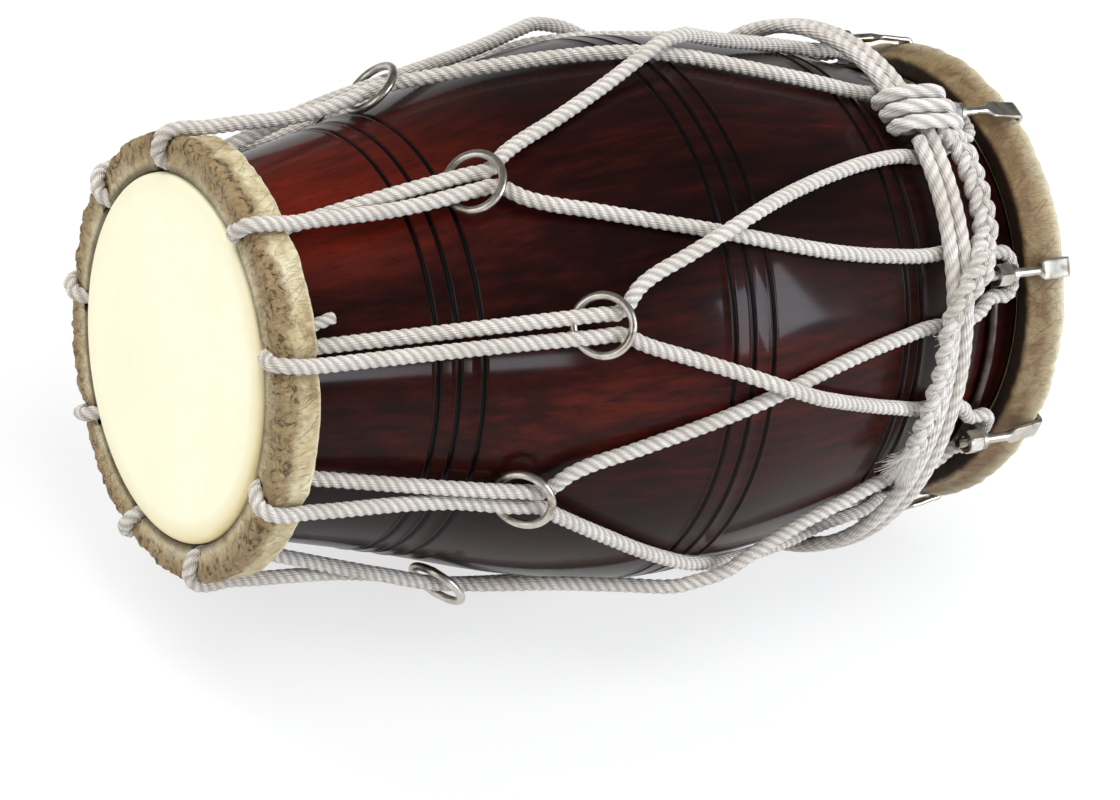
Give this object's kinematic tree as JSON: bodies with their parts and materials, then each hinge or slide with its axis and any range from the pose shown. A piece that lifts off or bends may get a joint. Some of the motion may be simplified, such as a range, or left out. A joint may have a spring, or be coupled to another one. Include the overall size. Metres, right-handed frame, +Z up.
{
  "type": "dholak",
  "caption": "Two-headed barrel drum lying on its side, rope-laced with sliding tuning rings, hook bolts on the bass hoop and a rope belt.",
  "frame": {"origin": "centre of the bounding box on the surface the drum lies on", "axes": "+X along the drum from the small treble head to the bass head, +Z up; the drum leans 2 degrees down to its bass end, as it lies on two rope crossings and the belt"},
  "size_m": [0.477, 0.306, 0.3073],
  "materials": {
    "lacquered_wood": "gloss lacquer",
    "head_skin": "smooth raw skin",
    "rawhide": "matt, mottled",
    "cane": "bare",
    "cotton_rope": "twisted rope",
    "nickel_steel": "worn nickel plate",
    "black_iron": "dull",
    "tuning_paste": "matt"
  },
  "bodies": {
    "drum": {"barrel_shell": "lacquered_wood", "treble_head_skin": "head_skin", "treble_hoop_core": "cane", "treble_hoop_wrap": "rawhide", "bass_head_skin": "head_skin", "bass_hoop_core": "cane", "bass_hoop_wrap": "rawhide", "bass_tuning_paste": "tuning_paste", "anchor_ring": "black_iron", "lacing_rope": "cotton_rope", "lacing_tail": "cotton_rope", "belt_rope": "cotton_rope", "belt_knot": "cotton_rope", "belt_tail_braid": "cotton_rope"},
    "tuning_ring_1": {"tuning_ring_1": "nickel_steel"},
    "hook_bolt_1": {"hook_bolt_1": "nickel_steel"},
    "bolt_nut_1": {"bolt_nut_1": "nickel_steel"},
    "tuning_ring_2": {"tuning_ring_2": "nickel_steel"},
    "hook_bolt_2": {"hook_bolt_2": "nickel_steel"},
    "bolt_nut_2": {"bolt_nut_2": "nickel_steel"},
    "tuning_ring_3": {"tuning_ring_3": "nickel_steel"},
    "hook_bolt_3": {"hook_bolt_3": "nickel_steel"},
    "bolt_nut_3": {"bolt_nut_3": "nickel_steel"},
    "tuning_ring_4": {"tuning_ring_4": "nickel_steel"},
    "hook_bolt_4": {"hook_bolt_4": "nickel_steel"},
    "bolt_nut_4": {"bolt_nut_4": "nickel_steel"},
    "tuning_ring_5": {"tuning_ring_5": "nickel_steel"},
    "hook_bolt_5": {"hook_bolt_5": "nickel_steel"},
    "bolt_nut_5": {"bolt_nut_5": "nickel_steel"},
    "tuning_ring_6": {"tuning_ring_6": "nickel_steel"},
    "hook_bolt_6": {"hook_bolt_6": "nickel_steel"},
    "bolt_nut_6": {"bolt_nut_6": "nickel_steel"},
    "tuning_ring_7": {"tuning_ring_7": "nickel_steel"},
    "hook_bolt_7": {"hook_bolt_7": "nickel_steel"},
    "bolt_nut_7": {"bolt_nut_7": "nickel_steel"},
    "tuning_ring_8": {"tuning_ring_8": "nickel_steel"},
    "hook_bolt_8": {"hook_bolt_8": "nickel_steel"},
    "bolt_nut_8": {"bolt_nut_8": "nickel_steel"},
    "tuning_ring_9": {"tuning_ring_9": "nickel_steel"},
    "hook_bolt_9": {"hook_bolt_9": "nickel_steel"},
    "bolt_nut_9": {"bolt_nut_9": "nickel_steel"}
  },
  "joints": [
    {"name": "ring_slide_1", "type": "slide", "parent": "drum", "child": "tuning_ring_1", "axis": [0.9757, 0.1232, 0.1812], "range_m": [-0.028, 0]},
    {"name": "ring_slide_2", "type": "slide", "parent": "drum", "child": "tuning_ring_2", "axis": [0.9761, -0.0758, 0.2038], "range_m": [-0.028, 0]},
    {"name": "ring_slide_3", "type": "slide", "parent": "drum", "child": "tuning_ring_3", "axis": [0.9636, -0.2308, 0.1346], "range_m": [-0.028, 0]},
    {"name": "ring_slide_4", "type": "slide", "parent": "drum", "child": "tuning_ring_4", "axis": [0.9628, -0.2655, -0.0502], "range_m": [-0.028, 0]},
    {"name": "ring_slide_5", "type": "slide", "parent": "drum", "child": "tuning_ring_5", "axis": [0.9541, -0.1683, -0.2477], "range_m": [-0.028, 0]},
    {"name": "ring_slide_6", "type": "slide", "parent": "drum", "child": "tuning_ring_6", "axis": [0.957, 0, -0.2901], "range_m": [-0.028, 0]},
    {"name": "ring_slide_7", "type": "slide", "parent": "drum", "child": "tuning_ring_7", "axis": [0.9529, 0.1666, -0.2532], "range_m": [-0.028, 0]},
    {"name": "ring_slide_8", "type": "slide", "parent": "drum", "child": "tuning_ring_8", "axis": [0.9627, 0.2474, -0.1096], "range_m": [-0.028, 0]},
    {"name": "ring_slide_9", "type": "slide", "parent": "drum", "child": "tuning_ring_9", "axis": [0.9671, 0.2487, 0.0542], "range_m": [-0.028, 0]},
    {"name": "nut_turn_1", "type": "hinge", "parent": "drum", "child": "bolt_nut_1", "pos_m": [0.19461, 0.06603, 0.25227], "axis": [-0.9993, 0, 0.0377], "range_deg": [0, 1440]},
    {"name": "hook_slide_1", "type": "slide", "parent": "drum", "child": "hook_bolt_1", "axis": [0.9993, 0, -0.0377], "range_m": [0, 0.00321]},
    {"name": "nut_turn_2", "type": "hinge", "parent": "drum", "child": "bolt_nut_2", "pos_m": [0.19528, -0.03231, 0.27004], "axis": [-0.9993, 0, 0.0377], "range_deg": [0, 1440]},
    {"name": "hook_slide_2", "type": "slide", "parent": "drum", "child": "hook_bolt_2", "axis": [0.9993, 0, -0.0377], "range_m": [0, 0.00321]},
    {"name": "nut_turn_3", "type": "hinge", "parent": "drum", "child": "bolt_nut_3", "pos_m": [0.19342, -0.1082, 0.22079], "axis": [-0.9993, 0, 0.0377], "range_deg": [0, 1440]},
    {"name": "hook_slide_3", "type": "slide", "parent": "drum", "child": "hook_bolt_3", "axis": [0.9993, 0, -0.0377], "range_m": [0, 0.00321]},
    {"name": "nut_turn_4", "type": "hinge", "parent": "drum", "child": "bolt_nut_4", "pos_m": [0.19002, -0.13283, 0.13049], "axis": [-0.9993, 0, 0.0377], "range_deg": [0, 1440]},
    {"name": "hook_slide_4", "type": "slide", "parent": "drum", "child": "hook_bolt_4", "axis": [0.9993, 0, -0.0377], "range_m": [0, 0.00321]},
    {"name": "nut_turn_5", "type": "hinge", "parent": "drum", "child": "bolt_nut_5", "pos_m": [0.18669, -0.08389, 0.04225], "axis": [-0.9993, 0, 0.0377], "range_deg": [0, 1440]},
    {"name": "hook_slide_5", "type": "slide", "parent": "drum", "child": "hook_bolt_5", "axis": [0.9993, 0, -0.0377], "range_m": [0, 0.00321]},
    {"name": "nut_turn_6", "type": "hinge", "parent": "drum", "child": "bolt_nut_6", "pos_m": [0.18566, -0.00434, 0.01488], "axis": [-0.9993, 0, 0.0377], "range_deg": [0, 1440]},
    {"name": "hook_slide_6", "type": "slide", "parent": "drum", "child": "hook_bolt_6", "axis": [0.9993, 0, -0.0377], "range_m": [0, 0.00321]},
    {"name": "nut_turn_7", "type": "hinge", "parent": "drum", "child": "bolt_nut_7", "pos_m": [0.18667, 0.07431, 0.04156], "axis": [-0.9993, 0, 0.0377], "range_deg": [0, 1440]},
    {"name": "hook_slide_7", "type": "slide", "parent": "drum", "child": "hook_bolt_7", "axis": [0.9993, 0, -0.0377], "range_m": [0, 0.00321]},
    {"name": "nut_turn_8", "type": "hinge", "parent": "drum", "child": "bolt_nut_8", "pos_m": [0.18914, 0.11954, 0.10732], "axis": [-0.9993, 0, 0.0377], "range_deg": [0, 1440]},
    {"name": "hook_slide_8", "type": "slide", "parent": "drum", "child": "hook_bolt_8", "axis": [0.9993, 0, -0.0377], "range_m": [0, 0.00321]},
    {"name": "nut_turn_9", "type": "hinge", "parent": "drum", "child": "bolt_nut_9", "pos_m": [0.19219, 0.11707, 0.18815], "axis": [-0.9993, 0, 0.0377], "range_deg": [0, 1440]},
    {"name": "hook_slide_9", "type": "slide", "parent": "drum", "child": "hook_bolt_9", "axis": [0.9993, 0, -0.0377], "range_m": [0, 0.00321]}
  ],
  "couplings": [
    {"joint": "hook_slide_1", "follows": "nut_turn_1", "m_per_rad": 0.00012732},
    {"joint": "hook_slide_2", "follows": "nut_turn_2", "m_per_rad": 0.00012732},
    {"joint": "hook_slide_3", "follows": "nut_turn_3", "m_per_rad": 0.00012732},
    {"joint": "hook_slide_4", "follows": "nut_turn_4", "m_per_rad": 0.00012732},
    {"joint": "hook_slide_5", "follows": "nut_turn_5", "m_per_rad": 0.00012732},
    {"joint": "hook_slide_6", "follows": "nut_turn_6", "m_per_rad": 0.00012732},
    {"joint": "hook_slide_7", "follows": "nut_turn_7", "m_per_rad": 0.00012732},
    {"joint": "hook_slide_8", "follows": "nut_turn_8", "m_per_rad": 0.00012732},
    {"joint": "hook_slide_9", "follows": "nut_turn_9", "m_per_rad": 0.00012732}
  ]
}
